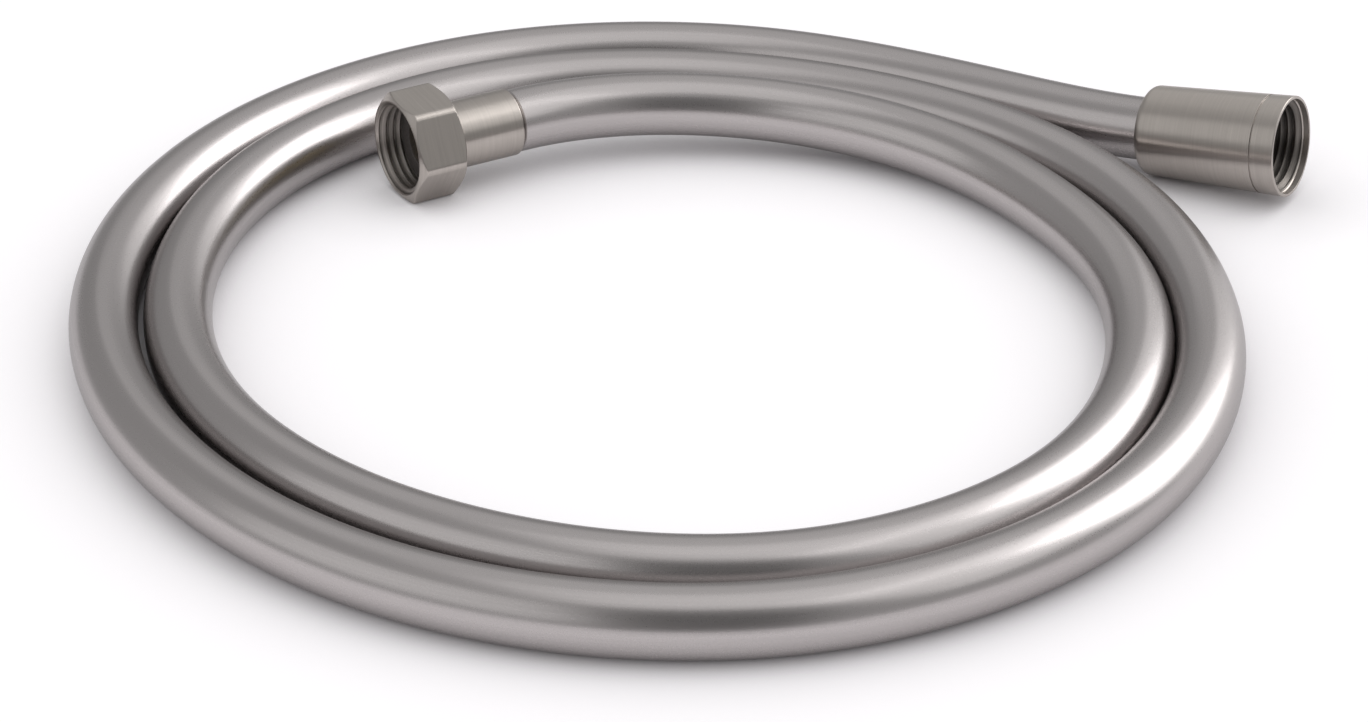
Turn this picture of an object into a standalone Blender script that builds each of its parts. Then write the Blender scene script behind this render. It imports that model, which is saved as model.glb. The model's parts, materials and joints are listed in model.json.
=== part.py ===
"""A shower hose 1.6 m long, coiled flat, with a hexagonal nut at its inner end and a conical nut at its outer.

Metres, +Z up. The origin is on the surface that the hose lies on, under the middle of the whole part.
Each end is built in a frame of its own: its origin is the middle of the nut's mouth, its local Z runs into
the nut and on along the hose, and every depth below is measured along it. Both nuts take a G 1/2 pipe thread,
whose turns are too fine for these solids: each threaded bore is cut to the thread's major diameter.
"""

import math

import bmesh
import bpy
import numpy as np
from mathutils import Matrix, Vector

PART_NAME = "shower_hose"
GAP = 0.0003
TURN_STEPS = 48
ROUNDING_STEPS = 4
MERGE_DISTANCE = 0.00001

# Hose
HOSE_DIAMETER = 0.0145
HOSE_WALL = 0.00275
CRIMP_SQUEEZE = 0.001
CRIMP_RUN_OUT = 0.0012
STRAIGHT_RUN = 0.0024
HOSE_ROUNDNESS = 4

# Coil, seen from above: radii about its middle, each step clockwise of the last
COIL_MIDDLE = (0.0139, 0.0104)
COIL_FIRST_ANGLE = math.radians(90)
COIL_STEP = math.radians(30)
FIRST_TURN_RADII = (
    0.0795, 0.073, 0.0695, 0.0735, 0.0845, 0.104, 0.1215, 0.128, 0.1295, 0.1275, 0.125, 0.1155,
)
TURN_GAPS = (
    0.006, 0.0025, 0.0025, 0.0005, 0.001, 0.0015, 0.003, 0.004, 0.0015, 0.001, 0.0005, 0.0015, 0.002, 0.001,
)
HEX_END_LIFTS = (0.0031, 0.0012, 0.0002)
CONE_END_LIFT = 0.0005
POINTS_PER_STATION = 3

# Pipe thread, the washer that seals in it and the brass tail that the hose is pushed onto
THREAD_MAJOR = 0.020955
THREAD_DEPTH = 0.0011625
MOUTH_BEVEL = 0.0003
WASHER_BORE = 0.011
WASHER_THICKNESS = 0.002
RING_SEAT_WIDTH = 0.00105
NECK_DIAMETER = 0.0139
LOCK_STEP = 0.00125
BARB_STEP = 0.00025
BARB_COUNT = 4
TAIL_WALL = 0.0007
TAIL_SETBACK = 0.001

# Ferrule crimped over each end of the hose
FERRULE_WALL = 0.0007
FERRULE_LENGTH = 0.0165
FERRULE_LIP = 0.001
FERRULE_EDGE = 0.0002

# Hexagonal nut
HEX_HALF_SIDE_ANGLE = math.radians(30)
HEX_MOUTH_PLACE = (-0.0849, 0.0546)
HEX_HEADING = math.radians(30.8)
HEX_ROLL = math.radians(6)
HEX_WALL = 0.00102
HEX_LENGTH = 0.012
HEX_CORNER_RADIUS = 0.0015
HEX_RIM_WIDTH = 0.00037
HEX_CHAMFER = math.radians(30)
HEX_LIP = 0.0016
HEX_FLANGE_THICKNESS = 0.002

# Conical nut and the slip ring between its shoulder and the tail's flange
CONE_MOUTH_PLACE = (0.1167, 0.0525)
CONE_HEADING = math.radians(150.5)
CONE_TILT = math.radians(5.9)
CONE_LENGTH = 0.0347
CONE_MOUTH_WALL = 0.0007
CONE_REAR_CLEARANCE = 0.0005
CONE_REAR_RIM = 0.00009
CONE_REAR_FILLET = 0.002
CONE_MOUTH_EDGE = 0.0002
GROOVE_MIDDLE = 0.0056
GROOVE_WIDTH = 0.0004
GROOVE_DEPTH = 0.0003
COUNTERBORE_STEP = 0.00032
COUNTERBORE_DEPTH = 0.0014
CONE_THREAD_END = 0.0106
CONE_SHOULDER = 0.0154
CONE_FLANGE_THICKNESS = 0.0025
SLIP_RING_THICKNESS = 0.0013

# Sizes that follow from those above
CRIMPED_DIAMETER = HOSE_DIAMETER - CRIMP_SQUEEZE
BARB_DIAMETER = CRIMPED_DIAMETER - 2 * HOSE_WALL - 2 * GAP
BARB_ROOT = BARB_DIAMETER - 2 * BARB_STEP
TAIL_BORE = BARB_ROOT - 2 * TAIL_WALL
LOCK_DIAMETER = NECK_DIAMETER - 2 * LOCK_STEP
FERRULE_GRIP = CRIMPED_DIAMETER + 2 * GAP
FERRULE_DIAMETER = FERRULE_GRIP + 2 * FERRULE_WALL
SLIDING_BORE = FERRULE_DIAMETER + 2 * GAP
FLANGE_DIAMETER = SLIDING_BORE + 2 * RING_SEAT_WIDTH
FLANGE_BORE = FLANGE_DIAMETER + 2 * GAP
WASHER_DIAMETER = THREAD_MAJOR - 2 * THREAD_DEPTH - GAP
HEX_ACROSS_FLATS = THREAD_MAJOR + 2 * HEX_WALL
HEX_FACE_DIAMETER = THREAD_MAJOR + 2 * MOUTH_BEVEL + 2 * HEX_RIM_WIDTH
COUNTERBORE_DIAMETER = THREAD_MAJOR + 2 * COUNTERBORE_STEP
CONE_MOUTH_DIAMETER = COUNTERBORE_DIAMETER + 2 * CONE_MOUTH_WALL
CONE_REAR_BORE = FERRULE_DIAMETER + 2 * CONE_REAR_CLEARANCE
CONE_FILLET_DIAMETER = CONE_REAR_BORE + 2 * (CONE_REAR_RIM + CONE_REAR_FILLET)
HEX_SHOULDER = HEX_LENGTH - HEX_LIP
HEX_FLANGE_FRONT = HEX_SHOULDER - GAP - HEX_FLANGE_THICKNESS
HEX_FERRULE_FRONT = HEX_LENGTH + GAP
CONE_FLANGE_FRONT = CONE_SHOULDER - 2 * GAP - SLIP_RING_THICKNESS - CONE_FLANGE_THICKNESS
CONE_FERRULE_FRONT = CONE_FLANGE_FRONT + CONE_FLANGE_THICKNESS + GAP


def clear_scene():
    """Removes whatever the open file holds."""
    for thing in list(bpy.data.objects):
        bpy.data.objects.remove(thing, do_unlink=True)


def new_collection(name):
    """A collection linked to the scene."""
    collection = bpy.data.collections.new(name)
    bpy.context.scene.collection.children.link(collection)
    return collection


def finish(name, colour, roughness, metallic):
    """A Principled material."""
    material = bpy.data.materials.new(name)
    material.use_nodes = True
    shader = material.node_tree.nodes["Principled BSDF"]
    shader.inputs["Base Color"].default_value = (*colour, 1.0)
    shader.inputs["Roughness"].default_value = roughness
    shader.inputs["Metallic"].default_value = metallic
    return material


def place(thing, collection, parent=None, material=None):
    """Links an object, under its parent if it has one, with its material."""
    collection.objects.link(thing)
    thing.parent = parent
    if material:
        thing.data.materials.append(material)
    return thing


def as_cutter(thing):
    """Marks a helper that the finished part leaves out."""
    thing.hide_render = True
    thing.display_type = "WIRE"
    return thing


def turned(name, outside, inside=()):
    """A turned piece about local Z. Both lists hold (depth, diameter), and a plain cutter has no inside."""
    profile = [*reversed(outside), *inside]
    points = [(diameter / 2, 0.0, depth) for depth, diameter in profile]
    edges = [(i, i + 1) for i in range(len(points) - 1)]
    if inside:
        edges.append((len(points) - 1, 0))
    mesh = bpy.data.meshes.new(name)
    mesh.from_pydata(points, edges, [])
    thing = bpy.data.objects.new(name, mesh)
    screw = thing.modifiers.new("Turn", "SCREW")
    screw.axis = "Z"
    screw.angle = 2 * math.pi
    screw.steps = TURN_STEPS
    screw.render_steps = TURN_STEPS
    screw.use_merge_vertices = True
    screw.merge_threshold = MERGE_DISTANCE
    screw.use_smooth_shade = True
    return thing


def add_boolean(thing, operation, other):
    """Cuts a piece with another, or keeps what both share."""
    cut = thing.modifiers.new(operation.title(), "BOOLEAN")
    cut.operation = operation
    cut.object = other


def end_frame(name, place_in_coil, heading, tilt, height, collection):
    """An empty in the middle of a nut's mouth, its Z towards the hose and its Y up."""
    into_nut = Vector((math.cos(heading) * math.cos(tilt), math.sin(heading) * math.cos(tilt), -math.sin(tilt)))
    across = Vector((-math.sin(heading), math.cos(heading), 0))
    upwards = into_nut.cross(across)
    turn = Matrix((across, upwards, into_nut)).transposed().to_4x4()
    middle = Vector((COIL_MIDDLE[0] + place_in_coil[0], COIL_MIDDLE[1] + place_in_coil[1], height))
    frame = bpy.data.objects.new(name, None)
    frame.matrix_world = Matrix.Translation(middle) @ turn
    collection.objects.link(frame)
    return frame


def at_depth(frame, depth):
    """The point on an end's axis at a depth, in the part's frame."""
    return frame.matrix_world @ Vector((0, 0, depth))


def along(frame):
    """The direction of an end's axis, towards the hose."""
    return (frame.matrix_world.to_3x3() @ Vector((0, 0, 1))).normalized()


def hex_axis_height():
    """Height of the hexagonal nut's axis, where it lies on the rounded corner beside its lowest flat."""
    to_corner_arc = (HEX_ACROSS_FLATS / 2 - HEX_CORNER_RADIUS) / math.cos(HEX_HALF_SIDE_ANGLE)
    return to_corner_arc * math.cos(HEX_HALF_SIDE_ANGLE - HEX_ROLL) + HEX_CORNER_RADIUS


def cone_diameter(depth):
    """The conical nut's outer diameter at a depth, as far as the fillet round its rear."""
    taper = (CONE_FILLET_DIAMETER - CONE_MOUTH_DIAMETER) / (CONE_LENGTH - CONE_REAR_FILLET)
    return CONE_MOUTH_DIAMETER + taper * depth


def cone_mouth_height():
    """Height of the middle of the conical nut's mouth, where the nut lies on its rear edge."""
    contact = CONE_LENGTH - CONE_REAR_FILLET
    return contact * math.sin(CONE_TILT) + cone_diameter(contact) / 2 * math.cos(CONE_TILT)


def build_hex_nut(frame, parts, cutters, material):
    """The hexagonal nut: a rounded, chamfered hexagon with a threaded bore and a hole for the neck."""
    widest = HEX_ACROSS_FLATS / math.cos(HEX_HALF_SIDE_ANGLE)
    mesh = bpy.data.meshes.new("hex_nut")
    shape = bmesh.new()
    bmesh.ops.create_cone(
        shape,
        cap_ends=True,
        segments=6,
        radius1=widest / 2,
        radius2=widest / 2,
        depth=HEX_LENGTH,
        matrix=Matrix.Translation((0, 0, HEX_LENGTH / 2)),
    )
    corners = [edge for edge in shape.edges if abs(edge.verts[0].co.z - edge.verts[1].co.z) > HEX_LENGTH / 2]
    bmesh.ops.bevel(
        shape,
        geom=corners,
        offset=HEX_CORNER_RADIUS * math.tan(HEX_HALF_SIDE_ANGLE),
        offset_type="OFFSET",
        segments=ROUNDING_STEPS,
        profile=0.5,
        affect="EDGES",
    )
    shape.to_mesh(mesh)
    shape.free()
    nut = bpy.data.objects.new("hex_nut", mesh)
    place(nut, parts, frame, material)
    nut.rotation_euler.z = HEX_HALF_SIDE_ANGLE + HEX_ROLL

    slope = (widest - HEX_FACE_DIAMETER) / 2 * math.tan(HEX_CHAMFER)
    envelope = turned(
        "hex_nut_envelope",
        [
            (0, 0),
            (0, HEX_FACE_DIAMETER),
            (slope, widest),
            (HEX_LENGTH - slope, widest),
            (HEX_LENGTH, HEX_FACE_DIAMETER),
            (HEX_LENGTH, 0),
        ],
    )
    bore = turned(
        "hex_nut_bore",
        [
            (-HEX_LENGTH, 0),
            (-HEX_LENGTH, THREAD_MAJOR + 2 * MOUTH_BEVEL),
            (0, THREAD_MAJOR + 2 * MOUTH_BEVEL),
            (MOUTH_BEVEL, THREAD_MAJOR),
            (HEX_SHOULDER, THREAD_MAJOR),
            (HEX_SHOULDER, NECK_DIAMETER + 2 * GAP),
            (2 * HEX_LENGTH, NECK_DIAMETER + 2 * GAP),
            (2 * HEX_LENGTH, 0),
        ],
    )
    for cutter, operation in ((envelope, "INTERSECT"), (bore, "DIFFERENCE")):
        place(as_cutter(cutter), cutters, frame)
        add_boolean(nut, operation, cutter)


def build_cone_nut(frame, parts, material):
    """The conical nut: a tapered shell with a fine groove, a threaded mouth and a shoulder inside."""
    groove_start = GROOVE_MIDDLE - GROOVE_WIDTH / 2
    groove_end = GROOVE_MIDDLE + GROOVE_WIDTH / 2
    fillet_start = CONE_LENGTH - CONE_REAR_FILLET
    fillet = []
    for step in range(1, ROUNDING_STEPS + 1):
        angle = math.radians(90) * step / ROUNDING_STEPS
        fillet.append((
            fillet_start + CONE_REAR_FILLET * math.sin(angle),
            CONE_FILLET_DIAMETER - 2 * CONE_REAR_FILLET * (1 - math.cos(angle)),
        ))
    nut = turned(
        "cone_nut",
        [
            (0, CONE_MOUTH_DIAMETER - 2 * CONE_MOUTH_EDGE),
            (CONE_MOUTH_EDGE, CONE_MOUTH_DIAMETER),
            (groove_start, cone_diameter(groove_start)),
            (groove_start, cone_diameter(groove_start) - 2 * GROOVE_DEPTH),
            (groove_end, cone_diameter(groove_end) - 2 * GROOVE_DEPTH),
            (groove_end, cone_diameter(groove_end)),
            (fillet_start, CONE_FILLET_DIAMETER),
            *fillet,
        ],
        [
            (0, COUNTERBORE_DIAMETER),
            (COUNTERBORE_DEPTH, COUNTERBORE_DIAMETER),
            (COUNTERBORE_DEPTH, THREAD_MAJOR),
            (CONE_THREAD_END, THREAD_MAJOR),
            (CONE_THREAD_END, FLANGE_BORE),
            (CONE_SHOULDER, FLANGE_BORE),
            (CONE_SHOULDER, CONE_REAR_BORE),
            (CONE_LENGTH, CONE_REAR_BORE),
        ],
    )
    place(nut, parts, frame, material)


def build_slip_ring(frame, parts, material):
    """The plastic ring that the conical nut turns on, between its shoulder and the flange."""
    back = CONE_SHOULDER - GAP
    front = back - SLIP_RING_THICKNESS
    ring = turned(
        "slip_ring",
        [(front, FLANGE_DIAMETER), (back, FLANGE_DIAMETER)],
        [(front, SLIDING_BORE), (back, SLIDING_BORE)],
    )
    place(ring, parts, frame, material)


def build_tail(name, frame, flange_front, flange_thickness, ferrule_front, parts, material):
    """A brass tail: sealing flange, neck, the waist that the ferrule's lip locks into, barbs in the hose."""
    hose_start = ferrule_front + FERRULE_LIP + GAP
    tail_end = ferrule_front + FERRULE_LENGTH - TAIL_SETBACK
    barb_length = (tail_end - hose_start) / BARB_COUNT
    barbs = []
    for number in range(BARB_COUNT):
        start = hose_start + number * barb_length
        barbs += [(start, BARB_DIAMETER), (start + barb_length, BARB_ROOT)]
    waist_start = ferrule_front - GAP
    tail = turned(
        name,
        [
            (flange_front, FLANGE_DIAMETER),
            (flange_front + flange_thickness, FLANGE_DIAMETER),
            (flange_front + flange_thickness, NECK_DIAMETER),
            (waist_start, NECK_DIAMETER),
            (waist_start, LOCK_DIAMETER),
            (hose_start - GAP, LOCK_DIAMETER),
            (hose_start - GAP, BARB_DIAMETER),
            *barbs,
        ],
        [(flange_front, TAIL_BORE), (tail_end, TAIL_BORE)],
    )
    place(tail, parts, frame, material)


def build_ferrule(name, frame, front, parts, material):
    """The sleeve crimped over the hose, with a lip behind the tail's neck."""
    back = front + FERRULE_LENGTH
    ferrule = turned(
        name,
        [
            (front, FERRULE_DIAMETER - 2 * FERRULE_EDGE),
            (front + FERRULE_EDGE, FERRULE_DIAMETER),
            (back - FERRULE_EDGE, FERRULE_DIAMETER),
            (back, FERRULE_DIAMETER - 2 * FERRULE_EDGE),
        ],
        [
            (front, LOCK_DIAMETER + 2 * GAP),
            (front + FERRULE_LIP, LOCK_DIAMETER + 2 * GAP),
            (front + FERRULE_LIP, FERRULE_GRIP),
            (back, FERRULE_GRIP),
        ],
    )
    place(ferrule, parts, frame, material)


def build_washer(name, frame, flange_front, parts, material):
    """The flat rubber washer in front of a flange."""
    back = flange_front - GAP
    front = back - WASHER_THICKNESS
    washer = turned(
        name,
        [(front, WASHER_DIAMETER), (back, WASHER_DIAMETER)],
        [(front, WASHER_BORE), (back, WASHER_BORE)],
    )
    place(washer, parts, frame, material)


def coil_stations():
    """The coil's own points: a free first turn, then each turn beside the one inside it."""
    radii = list(FIRST_TURN_RADII)
    for gap in TURN_GAPS:
        radii.append(radii[-len(FIRST_TURN_RADII)] + HOSE_DIAMETER + gap)
    lifts = [*HEX_END_LIFTS, *[0.0] * (len(radii) - len(HEX_END_LIFTS) - 1), CONE_END_LIFT]
    stations = []
    for number, (radius, lift) in enumerate(zip(radii, lifts)):
        angle = COIL_FIRST_ANGLE - number * COIL_STEP
        stations.append((
            COIL_MIDDLE[0] + radius * math.cos(angle),
            COIL_MIDDLE[1] + radius * math.sin(angle),
            HOSE_DIAMETER / 2 + lift,
        ))
    return stations


def smooth_curve(stations, start_direction, end_direction, steps=40):
    """Points along the cubic curve through the stations whose direction and bend are both continuous."""
    knots = np.array(stations)
    spans = np.linalg.norm(np.diff(knots, axis=0), axis=1)
    balance = np.eye(len(knots))
    slopes = np.zeros_like(knots)
    slopes[0] = start_direction
    slopes[-1] = end_direction
    for i in range(1, len(knots) - 1):
        before, after = spans[i - 1], spans[i]
        balance[i, i - 1 : i + 2] = 1 / before, 2 / before + 2 / after, 1 / after
        slopes[i] = 3 * ((knots[i] - knots[i - 1]) / before**2 + (knots[i + 1] - knots[i]) / after**2)
    slopes = np.linalg.solve(balance, slopes)
    t = np.linspace(0, 1, steps, endpoint=False)[:, None]
    pieces = []
    for i, span in enumerate(spans):
        pieces.append(
            (2 * t**3 - 3 * t**2 + 1) * knots[i]
            + (t**3 - 2 * t**2 + t) * span * slopes[i]
            + (3 * t**2 - 2 * t**3) * knots[i + 1]
            + (t**3 - t**2) * span * slopes[i + 1]
        )
    return np.vstack([*pieces, knots[-1:]])


def coil_points(hex_frame, cone_frame):
    """The free hose between the nuts, a point at every third of a station's step about the coil's middle."""
    curve = smooth_curve(
        [
            at_depth(hex_frame, HEX_FERRULE_FRONT + FERRULE_LENGTH + STRAIGHT_RUN),
            *coil_stations(),
            at_depth(cone_frame, CONE_LENGTH),
        ],
        along(hex_frame),
        -along(cone_frame),
    )
    turned_by = -np.unwrap(np.arctan2(curve[:, 1] - COIL_MIDDLE[1], curve[:, 0] - COIL_MIDDLE[0]))
    step = COIL_STEP / POINTS_PER_STATION
    wanted = np.arange(math.ceil(turned_by[0] / step) + 1, math.floor(turned_by[-1] / step)) * step
    columns = [np.interp(wanted, turned_by, curve[:, axis]) for axis in range(3)]
    return [Vector(point) for point in np.stack(columns, axis=-1)]


def build_hose(hex_frame, cone_frame, parts, material):
    """The hose: one tube with its bore, squeezed where the ferrules grip it."""
    squeezed = CRIMPED_DIAMETER / HOSE_DIAMETER
    ends = []
    for frame, front in ((hex_frame, HEX_FERRULE_FRONT), (cone_frame, CONE_FERRULE_FRONT)):
        ferrule_back = front + FERRULE_LENGTH
        ends.append([
            (at_depth(frame, front + FERRULE_LIP + GAP), squeezed),
            (at_depth(frame, ferrule_back + GAP), squeezed),
            (at_depth(frame, ferrule_back + GAP + CRIMP_RUN_OUT), 1.0),
        ])
    hex_end, cone_end = ends
    cone_end.append((at_depth(cone_frame, CONE_LENGTH), 1.0))
    route = hex_end + [(point, 1.0) for point in coil_points(hex_frame, cone_frame)] + cone_end[::-1]

    curve = bpy.data.curves.new("hose", "CURVE")
    curve.dimensions = "3D"
    curve.twist_mode = "Z_UP"
    curve.bevel_depth = HOSE_DIAMETER / 2
    curve.bevel_resolution = HOSE_ROUNDNESS
    curve.use_fill_caps = False
    spline = curve.splines.new("POLY")
    spline.points.add(len(route) - 1)
    for point, (position, radius) in zip(spline.points, route):
        point.co = (*position, 1.0)
        point.radius = radius
    hose = bpy.data.objects.new("hose", curve)
    place(hose, parts, None, material)
    wall = hose.modifiers.new("Wall", "SOLIDIFY")
    wall.thickness = HOSE_WALL
    wall.offset = -1.0
    wall.use_rim = True


def main():
    """Builds every piece."""
    clear_scene()
    parts = new_collection(PART_NAME)
    cutters = new_collection("cutters")

    hose_finish = finish("hose_sheath", (0.50, 0.50, 0.51), 0.28, 0.85)
    nut_finish = finish("brushed_nickel", (0.50, 0.48, 0.45), 0.32, 1.0)
    brass_finish = finish("tail_brass", (0.70, 0.55, 0.28), 0.35, 1.0)
    rubber_finish = finish("washer_rubber", (0.03, 0.03, 0.03), 0.75, 0.0)
    ring_finish = finish("ring_plastic", (0.75, 0.75, 0.72), 0.45, 0.0)

    hex_frame = end_frame("hex_end", HEX_MOUTH_PLACE, HEX_HEADING, 0.0, hex_axis_height(), parts)
    cone_frame = end_frame("cone_end", CONE_MOUTH_PLACE, CONE_HEADING, CONE_TILT, cone_mouth_height(), parts)

    build_hose(hex_frame, cone_frame, parts, hose_finish)

    build_hex_nut(hex_frame, parts, cutters, nut_finish)
    build_tail(
        "hex_end_tail", hex_frame, HEX_FLANGE_FRONT, HEX_FLANGE_THICKNESS, HEX_FERRULE_FRONT,
        parts, brass_finish,
    )
    build_ferrule("hex_end_ferrule", hex_frame, HEX_FERRULE_FRONT, parts, nut_finish)
    build_washer("hex_end_washer", hex_frame, HEX_FLANGE_FRONT, parts, rubber_finish)

    build_cone_nut(cone_frame, parts, nut_finish)
    build_slip_ring(cone_frame, parts, ring_finish)
    build_tail(
        "cone_end_tail", cone_frame, CONE_FLANGE_FRONT, CONE_FLANGE_THICKNESS, CONE_FERRULE_FRONT,
        parts, brass_finish,
    )
    build_ferrule("cone_end_ferrule", cone_frame, CONE_FERRULE_FRONT, parts, nut_finish)
    build_washer("cone_end_washer", cone_frame, CONE_FLANGE_FRONT, parts, rubber_finish)


main()
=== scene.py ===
"""The looks of a shower hose in a flat coil, with a hexagonal nut at one end and a conical nut at the other.

Metres, +Z up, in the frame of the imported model. Each end has a frame of its own: its origin is the middle
of the nut's mouth, its Z runs into the nut and on along the hose, and every depth is measured along that Z.
"""

from __future__ import annotations

import json
import logging
import math
from dataclasses import dataclass
from enum import Enum
from typing import Sequence

import bpy
import numpy as np
from mathutils import Matrix, Vector

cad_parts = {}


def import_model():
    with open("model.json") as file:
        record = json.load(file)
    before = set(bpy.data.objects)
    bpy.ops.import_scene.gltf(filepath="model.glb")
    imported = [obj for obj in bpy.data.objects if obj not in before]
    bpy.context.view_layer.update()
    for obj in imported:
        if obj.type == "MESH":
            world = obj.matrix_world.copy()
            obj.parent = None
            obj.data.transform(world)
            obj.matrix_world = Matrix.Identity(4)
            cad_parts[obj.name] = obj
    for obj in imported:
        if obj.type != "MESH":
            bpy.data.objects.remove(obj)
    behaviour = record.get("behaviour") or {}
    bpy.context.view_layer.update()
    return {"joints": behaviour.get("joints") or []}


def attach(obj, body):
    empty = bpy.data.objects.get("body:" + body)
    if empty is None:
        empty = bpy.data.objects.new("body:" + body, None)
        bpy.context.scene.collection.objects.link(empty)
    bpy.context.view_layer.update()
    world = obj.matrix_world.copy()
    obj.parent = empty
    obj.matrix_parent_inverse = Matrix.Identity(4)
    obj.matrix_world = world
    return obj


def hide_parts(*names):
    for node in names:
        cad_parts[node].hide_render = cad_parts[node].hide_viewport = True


LOG = logging.getLogger("shower_hose")
GAP = 0.0003
FULL_TURN = 2 * math.pi
SHARP_ANGLE = math.radians(38)
STRAIGHT_ANGLE = math.radians(1)
ARC_STEP = math.radians(12)
SHARED_EDGE = 0.49
WHOLE_EDGE = 0.98
NOISE_LOW = 0.3
NOISE_HIGH = 0.7
PLACE_NAME = "own_place"
AXIS_NAME = "own_axis"

Socket = bpy.types.NodeSocket
Material = bpy.types.Material
Mesh = bpy.types.Mesh
Object = bpy.types.Object
Colour = tuple[float, float, float]
SocketValue = Socket | float | Sequence[float]


class Slot(Enum):
    """The material slots that the record names."""

    HOSE_SHEATH = "hose_sheath"
    BRUSHED_NICKEL = "brushed_nickel"
    TAIL_BRASS = "tail_brass"
    WASHER_RUBBER = "washer_rubber"
    RING_PLASTIC = "ring_plastic"


class Body(Enum):
    """The bodies that move on their own."""

    HOSE_LINE = "hose_line"
    HEX_NUT = "hex_nut"
    SLIP_RING = "slip_ring"
    CONE_NUT = "cone_nut"


class Graph:
    """A node tree that is filled and wired by short calls."""

    def __init__(self, tree: bpy.types.NodeTree) -> None:
        """Takes over the node tree of a material or a node group."""
        self.tree = tree

    def fill(self, node: bpy.types.Node, inputs: dict[str | int, SocketValue]) -> None:
        """Sets a node's inputs.

        Args:
            node: The node.
            inputs: Its inputs by name or number, each a value or the output that feeds it.
        """
        for name, value in inputs.items():
            if isinstance(value, Socket):
                self.tree.links.new(value, node.inputs[name])
            else:
                node.inputs[name].default_value = value

    def add(
        self,
        kind: str,
        inputs: dict[str | int, SocketValue] | None = None,
        settings: dict[str, object] | None = None,
    ) -> bpy.types.Node:
        """Adds a node.

        Args:
            kind: The node's type name.
            inputs: Its inputs, as fill takes them.
            settings: Its own settings by name.

        Returns:
            The new node.
        """
        node = self.tree.nodes.new(kind)
        for name, value in (settings or {}).items():
            setattr(node, name, value)
        self.fill(node, inputs or {})
        return node

    def math(self, operation: str, *values: SocketValue) -> Socket:
        """What a Math node works out from its operands."""
        return self.add("ShaderNodeMath", dict(enumerate(values)), {"operation": operation}).outputs[0]

    def spread(self, value: Socket, start: float, end: float, low: float = 0.0, high: float = 1.0) -> Socket:
        """Spreads a value's range from start to end over the range from low to high."""
        ends = {"From Min": start, "From Max": end, "To Min": low, "To Max": high}
        return self.add("ShaderNodeMapRange", {"Value": value, **ends}).outputs["Result"]

    def blend(self, first: Colour | Socket, second: Colour | Socket, share: Socket) -> Socket:
        """Mixes two colours by the second one's share, each given as it is or as the output that gives it."""
        ends = [colour if isinstance(colour, Socket) else (*colour, 1.0) for colour in (first, second)]
        return self.add("ShaderNodeMix", {0: share, 6: ends[0], 7: ends[1]}, {"data_type": "RGBA"}).outputs[2]

    def noise(self, point: Socket, scale: SocketValue, detail: float, roughness: float) -> Socket:
        """A noise at a point."""
        inputs = {"Vector": point, "Scale": scale, "Detail": detail, "Roughness": roughness}
        return self.add("ShaderNodeTexNoise", inputs).outputs["Fac"]

    def bump(self, height: Socket, distance: float) -> Socket:
        """The normal of a surface with a height."""
        inputs = {"Height": height, "Distance": distance, "Strength": 1.0}
        return self.add("ShaderNodeBump", inputs).outputs["Normal"]


def new_group(name: str, sizes: dict[str, float]) -> tuple[Graph, bpy.types.Node, bpy.types.Node]:
    """Makes an empty shader node group, for a shade at a point.

    Args:
        name: The group's name.
        sizes: The sizes that it takes besides the point, each with its default.

    Returns:
        The group's graph, the node that gives its inputs and the node that takes its shade.
    """
    tree = bpy.data.node_groups.new(name, "ShaderNodeTree")
    tree.interface.new_socket("Point", in_out="INPUT", socket_type="NodeSocketVector")
    for label, default in sizes.items():
        socket = tree.interface.new_socket(label, in_out="INPUT", socket_type="NodeSocketFloat")
        socket.default_value = default
    tree.interface.new_socket("Shade", in_out="OUTPUT", socket_type="NodeSocketFloat")
    graph = Graph(tree)
    return graph, graph.add("NodeGroupInput"), graph.add("NodeGroupOutput")


def drawn_grain_group() -> bpy.types.NodeTree:
    """Fine lines drawn in one direction: rings round a piece's Z axis, or hairlines along it.

    Returns:
        The node group, with a point and the lines' sizes across and along Z going in, and a shade coming out.
    """
    graph, given, result = new_group("Drawn grain", {"Size across axis": 0.008, "Size along axis": 0.00012})
    axes = graph.add("ShaderNodeSeparateXYZ", {"Vector": given.outputs["Point"]})
    sizes = {"X": "Size across axis", "Y": "Size across axis", "Z": "Size along axis"}
    layers = []
    for scale, detail in ((1.0, 3.0), (4.0, 2.0)):
        point = graph.add("ShaderNodeCombineXYZ", {
            axis: graph.math("DIVIDE", axes.outputs[axis], graph.math("MULTIPLY", given.outputs[size], scale))
            for axis, size in sizes.items()
        })
        layers.append(graph.noise(point.outputs[0], 1.0, detail, 0.65))
    both = graph.math("MULTIPLY", graph.math("ADD", *layers), 0.5)
    graph.fill(result, {"Shade": graph.spread(both, NOISE_LOW, NOISE_HIGH)})
    return graph.tree


def speckle_group() -> bpy.types.NodeTree:
    """A fine, even speckle.

    Returns:
        The node group, with a point and a speck's size going in, and a shade coming out.
    """
    graph, given, result = new_group("Speckle", {"Speck size": 0.0003})
    scale = graph.math("DIVIDE", 1.0, given.outputs["Speck size"])
    noise = graph.noise(given.outputs["Point"], scale, 2.0, 0.6)
    graph.fill(result, {"Shade": graph.spread(noise, NOISE_LOW, NOISE_HIGH)})
    return graph.tree


class Effects:
    """The node groups that the finishes share, each made once."""

    def __init__(self) -> None:
        """Builds the groups."""
        self.drawn_grain = drawn_grain_group()
        self.speckle = speckle_group()

    def grain(self, graph: Graph, place: Socket, across: float, along: float) -> Socket:
        """The shade of lines with a size across the piece's axis and one along it, from 0 to 1."""
        inputs = {"Point": place, "Size across axis": across, "Size along axis": along}
        return graph.add("ShaderNodeGroup", inputs, {"node_tree": self.drawn_grain}).outputs["Shade"]

    def specks(self, graph: Graph, place: Socket, size: float) -> Socket:
        """The shade of specks of a size, from 0 to 1."""
        inputs = {"Point": place, "Speck size": size}
        return graph.add("ShaderNodeGroup", inputs, {"node_tree": self.speckle}).outputs["Shade"]


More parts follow.
